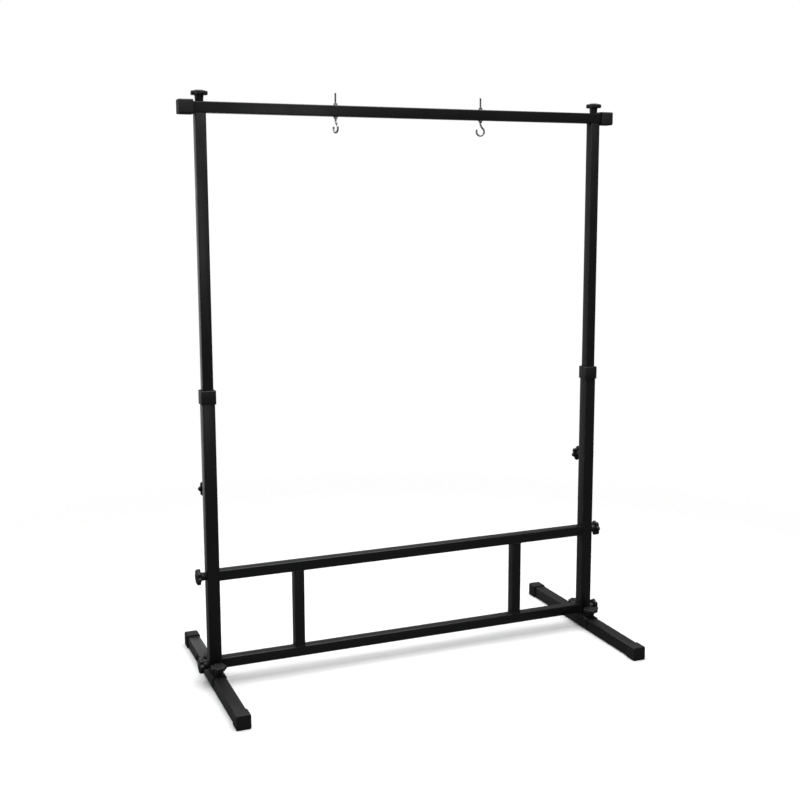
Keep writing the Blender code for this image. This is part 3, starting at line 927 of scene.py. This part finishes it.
disc = drum("disc", DISC_RADIUS, HEAD_TOP - HEAD_EDGE, HEAD_TOP + DISC_HEIGHT, sides=ROUND_SIDES)
edit(disc)
pick("EDGE", edges_at(2, HEAD_TOP + DISC_HEIGHT))
bpy.ops.mesh.bevel(offset=DISC_ROUND, segments=3, affect="EDGES")
pick("FACE", faces(2, 1, HEAD_TOP + DISC_HEIGHT))
bpy.ops.mesh.inset(thickness=DISC_RIM)
pull((0, 0, -DISC_DISH))
combine(knob, disc, "UNION")

hub = drum("hub", HUB_FOOT, 0, HUB_LENGTH + HEAD_EDGE, sides=ROUND_SIDES, top_radius=HUB_HEAD)
edit(hub)
pick("EDGE", edges_at(2, 0))
bpy.ops.mesh.bevel(offset=HUB_ROUND, segments=3, affect="EDGES")
combine(knob, hub, "UNION")
print("knob of", len(knob.data.polygons), "faces")

# %% [markdown]
# ## Threads
#
# A thread is one small ridge wound up the shank. A stack of rings would look alike from afar, but its
# lines wouldn't climb. The Screw modifier winds a real one: it turns a two-edge profile round Z and climbs
# one pitch in each turn. The rough ends are filled, and a chamfered drum that is a little thicker than the
# thread trims them square.

# %% Threads
THREAD_DEPTH = 0.55  # of a pitch
END_CHAMFER = 0.6  # of a pitch
MERGE = TINY / 5


def threaded_rod(name, radius, pitch, low, high):
    """A threaded rod on the Z axis, between two heights, with chamfered ends."""
    root = radius - THREAD_DEPTH * pitch
    rod = start_point(name, Vector((root, 0, low - pitch)))
    for outwards in (1, -1):
        pull((outwards * (radius - root), 0, pitch / 2))
    turns = math.ceil((high - low) / pitch) + 2
    modify(rod, "SCREW", axis="Z", angle=2 * math.pi, screw_offset=pitch, iterations=turns, steps=20,
           render_steps=20, use_merge_vertices=True, merge_threshold=MERGE)
    edit(rod)
    bpy.ops.mesh.remove_doubles(threshold=MERGE)
    bpy.ops.mesh.select_all(action="SELECT")
    bpy.ops.mesh.fill_holes(sides=0)
    face_outwards()
    trim = drum("trim", radius + TINY, low, high, sides=40)
    edit(trim)
    pick("EDGE", both_rims(low, high))
    bpy.ops.mesh.bevel(offset=END_CHAMFER * pitch, segments=1, affect="EDGES")
    combine(rod, trim, "INTERSECT")
    return rod


# %% [markdown]
# ### Knobs in their places
#
# The one knob is copied to each knob's joint and pointed along its axis. Each stud is wound at its own
# length, from the hub down to where its node ends. A knob stops wherever it happens to be tight, so each
# is turned differently, by a fixed step and not by chance.

# %% Place the knobs and their studs
STUD_PITCH = 0.00125
STUD_IN_HUB = 0.001
TURN_STEP = 2.4
knob_nodes = [node for node in BODY_OF if "_knob_" in node]
for index, node in enumerate(knob_nodes):
    seat, axis = joint_line(node)
    low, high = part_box(node)
    reach = seat.dot(axis) - min(low.dot(axis), high.dot(axis))
    hand_over(copy_of(knob, f"{node}_moulding", seat, axis, TURN_STEP * index), node, NYLON)
    stud = threaded_rod(f"{node}_stud", STUD_RADIUS, STUD_PITCH, -reach, STUD_IN_HUB)
    stud.matrix_world = Matrix.Translation(seat) @ turned_towards(axis)
    settle(stud)
    hand_over(stud, node, STEEL, stands_for=False)
bpy.data.objects.remove(knob)
print(len(knob_nodes), "knobs")

# %% [markdown]
# ## Nuts and washers
#
# A hexagon nut is a hexagonal bar, turned down at its corners. A bevel on the bar would cut straight
# facets. A round drum with chamfered rims that trims it leaves the curved scallops on every flat, as the
# lathe does, and then it is bored. The washer is a drum with softened rims.

# %% Nuts and washers
FLAT_TO_CORNER = 1 / math.cos(math.pi / 6)
TURNED = 1.01  # the lathe's drum to the bar's corners
NUT_CHAMFER = 0.11  # of a corner's radius
WASHER_ROUND = 0.0002
NUT_TURN = {"left": 0.3, "right": 0.9}


def hexagon_nut(name, across, height, bore):
    """A nut that stands on the origin, with its axis on Z."""
    corner = across / 2 * FLAT_TO_CORNER
    nut = drum(name, corner, 0, height, sides=6)
    turner = drum("turner", corner * TURNED, 0, height, sides=72)
    edit(turner)
    pick("EDGE", both_rims(0, height))
    bpy.ops.mesh.bevel(offset=corner * NUT_CHAMFER, segments=1, affect="EDGES")
    combine(nut, turner, "INTERSECT")
    drill(nut, Vector((0, 0, height / 2)), (0, 0, 1), bore, 3 * height)
    return nut


def plain_washer(name, radius, thickness, bore):
    """A washer that lies on the origin, with softened rims."""
    disc = drum(name, radius, 0, thickness)
    edit(disc)
    pick("EDGE", both_rims(0, thickness))
    bpy.ops.mesh.bevel(offset=WASHER_ROUND, segments=2, affect="EDGES")
    drill(disc, Vector((0, 0, thickness / 2)), (0, 0, 1), bore, 5 * thickness)
    return disc


# %% Place the nuts and washers
small_nut = hexagon_nut("small_nut_pattern", across=0.010, height=0.005, bore=HOOK_RADIUS + TINY)
weld_nut = hexagon_nut("weld_nut_pattern", across=0.013, height=0.0065, bore=STUD_RADIUS + TINY)
washer = plain_washer("washer_pattern", radius=0.008, thickness=0.0014, bore=HOOK_RADIUS + 3 * TINY)
for side in SIDES:
    for level in ("upper", "lower"):
        seat, axis = joint_line(f"hook_{side}")
        for node, pattern, turn in (
            (f"hook_nut_{side}_{level}", small_nut, NUT_TURN[side]),
            (f"hook_washer_{side}_{level}", washer, 0),
        ):
            at = Vector((seat.x, seat.y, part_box(node)[0].z))
            hand_over(copy_of(pattern, f"{node}_zinc", at, turn=turn), node, ZINC)
    node = f"lock_nut_{side}"
    seat, axis = joint_line(f"lock_knob_{side}")
    at = Vector((seat.x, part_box(node)[0].y, seat.z))
    hand_over(copy_of(weld_nut, f"{node}_steel", at, axis), node, COAT)
for pattern in (small_nut, weld_nut, washer):
    bpy.data.objects.remove(pattern)
print("4 hook nuts, 4 washers and 2 lock nuts")

# %% [markdown]
# ## Hooks
#
# A hook is one length of 6 mm wire: a threaded shank, a neck that swings out to the side, and a round
# bend that comes back under the shank. A curve with a round bevel would do it too, with points to place by
# eye. Both bends are arcs, so a disc of wire is spun first about the neck's centre and then about the
# bend's, as the wire is bent round pins. A bevel rounds the cut tip.

# %% Hooks
HOOK_BEND = 0.0125
NECK_ANGLE = math.radians(50)
TIP_ANGLE = math.radians(150)
HOOK_TURN = {"left": math.radians(-78), "right": math.radians(-8)}
PLAIN_SHANK = 0.006  # between the neck and the thread
TIP_ROUND = 0.0022
HOOK_PITCH = 0.001


def hook(side):
    """One hook, turned about its shank as it hangs at rest."""
    node = f"hook_{side}"
    low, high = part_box(node)
    seat, axis = joint_line(node)
    middle = low.z + HOOK_RADIUS + HOOK_BEND
    neck = HOOK_BEND * math.cos(NECK_ANGLE) / (1 - math.cos(NECK_ANGLE))
    neck_top = middle + HOOK_BEND * math.sin(NECK_ANGLE) + neck * math.sin(NECK_ANGLE)
    thread_start = neck_top + PLAIN_SHANK

    put_down()
    bpy.ops.mesh.primitive_circle_add(
        vertices=20, radius=HOOK_RADIUS, fill_type="NGON", location=(0, 0, thread_start)
    )
    wire = bpy.context.object
    wire.name = f"{node}_wire"
    settle(wire)
    edit(wire)
    pull((0, 0, -PLAIN_SHANK))
    swing(10, -NECK_ANGLE, (neck, 0, neck_top), (0, 1, 0))
    swing(44, NECK_ANGLE + 2 * math.pi - TIP_ANGLE, (0, 0, middle), (0, 1, 0))
    face_outwards()
    tip = Vector((math.cos(TIP_ANGLE), 0, math.sin(TIP_ANGLE))) * HOOK_BEND + Vector((0, 0, middle))
    along = Vector((math.sin(TIP_ANGLE), 0, -math.cos(TIP_ANGLE)))

    def on_tip(edge):
        """A test for the edges round the cut end."""
        gaps = [corner.co - tip for corner in edge.verts]
        return all(abs(gap.dot(along)) < TINY and gap.length < 1.1 * HOOK_RADIUS for gap in gaps)

    pick("EDGE", on_tip)
    bpy.ops.mesh.bevel(offset=TIP_ROUND, segments=5, affect="EDGES")

    thread = threaded_rod(f"{node}_thread", HOOK_RADIUS, HOOK_PITCH, thread_start, high.z)
    hung = Matrix.Translation((seat.x, seat.y, 0)) @ Matrix.Rotation(HOOK_TURN[side], 4, "Z")
    for piece, stands_for in ((wire, True), (thread, False)):
        piece.matrix_world = hung
        settle(piece)
        hand_over(piece, node, ZINC, stands_for)


for side in SIDES:
    hook(side)
    print(f"hook_{side} turned", round(math.degrees(HOOK_TURN[side])), "degrees")

# %% [markdown]
# ## Hidden pieces
#
# Nut plates, plugs and pads work inside the tubes. They could be rebuilt like the rest, but nobody sees
# them and their solids are right as they are, so they only get their finish.

# %% Finish the hidden pieces
hidden = [node for node in frame["nodes"] if "_plug_" in node or "nut_plate" in node or "lock_pad" in node]
for node in hidden:
    inner = NYLON if node.startswith(("guide_plug", "lock_pad")) else STEEL
    for place in frame["nodes"][node].material_slots:
        place.material = inner
print(len(hidden), "hidden pieces")

# %% [markdown]
# ## Floor
#
# The stand is shown on a white sweep: a pale floor that fades into a white surround. A curved backdrop
# would do it in one mesh, but it would hide the stand from behind. A white floor also throws light up into
# the black finish and turns it grey. So the floor is white where it is seen directly, and dark in what
# it reflects and throws back, as if black card lay beside the stand.

# %% Floor
FLOOR_RADIUS = 5.0
WHITE = (0.95, 0.95, 0.95, 1)
DARK = (0.10, 0.10, 0.10, 1)
FADE_FROM, FADE_TO = 1.0, 2.6
put_down()
bpy.ops.mesh.primitive_circle_add(vertices=96, radius=FLOOR_RADIUS, fill_type="NGON", location=(0, 0, 0))
floor = bpy.context.object
floor.name = "floor"
paint, tree, shader = finish("floor_white")
shader.inputs["Roughness"].default_value = 0.9
seen = add(tree, "ShaderNodeLightPath").outputs["Is Camera Ray"]
tree.links.new(tint(tree, seen, DARK, WHITE), shader.inputs["Base Color"])
place = add(tree, "ShaderNodeTexCoord").outputs["Object"]
away = add(tree, "ShaderNodeVectorMath", ((0, place),), operation="LENGTH").outputs["Value"]
tree.links.new(remap(tree, away, FADE_FROM, FADE_TO, 1.0, 0.0), shader.inputs["Alpha"])
floor.data.materials.append(paint)
print("floor fades out from", FADE_FROM, "to", FADE_TO, "m")

# %% [markdown]
# ## Surround
#
# The surround is plain white where it is seen directly. In what it reflects and throws back it is dark in
# front of the stand and lighter behind, as in a studio, so that faces that look at the camera stay deep
# black. A low band straight behind is brightest: the sides of the uprights catch it at a shallow angle.

# %% Surround
FRONT_LEVEL, BACK_LEVEL = 0.10, 0.18
BAND_LEVEL = 0.90
BAND_LOW, BAND_HIGH = 0.08, 0.30
world = bpy.data.worlds.new("white_surround")
bpy.context.scene.world = world
world.use_nodes = True
tree = world.node_tree
background = tree.nodes["Background"]
direction = add(tree, "ShaderNodeTexCoord").outputs["Generated"]
parts = add(tree, "ShaderNodeSeparateXYZ", ((0, direction),))
around = remap(tree, parts.outputs[1], -0.35, 0.55, FRONT_LEVEL, BACK_LEVEL)
behind = remap(tree, parts.outputs[1], 0.90, 0.98, 0.0, BAND_LEVEL)
low = remap(tree, parts.outputs[2], BAND_LOW, BAND_HIGH, 1.0, 0.0)
strength = maths(tree, "ADD", around, maths(tree, "MULTIPLY", behind, low))
seen = add(tree, "ShaderNodeLightPath").outputs["Is Camera Ray"]
tree.links.new(maths(tree, "MAXIMUM", strength, seen), background.inputs["Strength"])
background.inputs["Color"].default_value = (1, 1, 1, 1)
print("surround from", FRONT_LEVEL, "in front to", BACK_LEVEL + BAND_LEVEL, "straight behind")

# %% [markdown]
# ## Lights
#
# A big softbox overhead gives the soft shadow and lights every top. A second one, on the left, lights the
# outer sides. Sharp lamps or a sun would draw hard shadows and glints. The small one in front lifts only
# the front of the left upper tube, and a little of the crossbar beside it.

# %% Lights
def softbox(name, location, target, size, power):
    """A large area light that looks at a point."""
    data = bpy.data.lights.new(name, "AREA")
    data.shape = "RECTANGLE"
    data.size, data.size_y = size
    data.energy = power
    lamp = bpy.data.objects.new(name, data)
    bpy.context.collection.objects.link(lamp)
    lamp.location = location
    sight = Vector(target) - Vector(location)
    lamp.rotation_euler = sight.to_track_quat("-Z", "Y").to_euler()
    print(name, "light of", power, "W")


softbox("overhead", (0.0, -0.3, 4.2), target=(0, 0, 0), size=(5.0, 5.0), power=300)
softbox("left", (-3.6, 0.8, 2.0), target=(0, 0, 0.9), size=(2.0, 3.0), power=30)
softbox("front", (-0.1, -4.2, 1.9), target=(-0.65, 0, 1.6), size=(0.4, 1.0), power=6)

# %% [markdown]
# ## Camera
#
# The camera stands in front and to the left, a little below the crossbar, and looks slightly down. Its
# place, turn and lens were solved together from where the tubes' edges should run in the view. Moving
# it by hand until it looks right takes longer, and the lens and the distance are easily mixed up.

# %% Camera
CAMERA_PLACE = (-1.3872, -3.3244, 1.4490)
CAMERA_DEGREES = (81.530, 0.163, -22.162)
LENS, SENSOR = 51.795, 36
SHIFT_UP = -0.0293
camera = bpy.data.objects.new("camera", bpy.data.cameras.new("camera"))
bpy.context.collection.objects.link(camera)
camera.location = CAMERA_PLACE
camera.rotation_euler = tuple(math.radians(angle) for angle in CAMERA_DEGREES)
camera.data.sensor_width = SENSOR
camera.data.lens = LENS
camera.data.shift_y = SHIFT_UP
bpy.context.scene.camera = camera
bpy.context.scene.view_settings.view_transform = "Standard"
print("camera", round(camera.location.length, 2), "m from the origin")
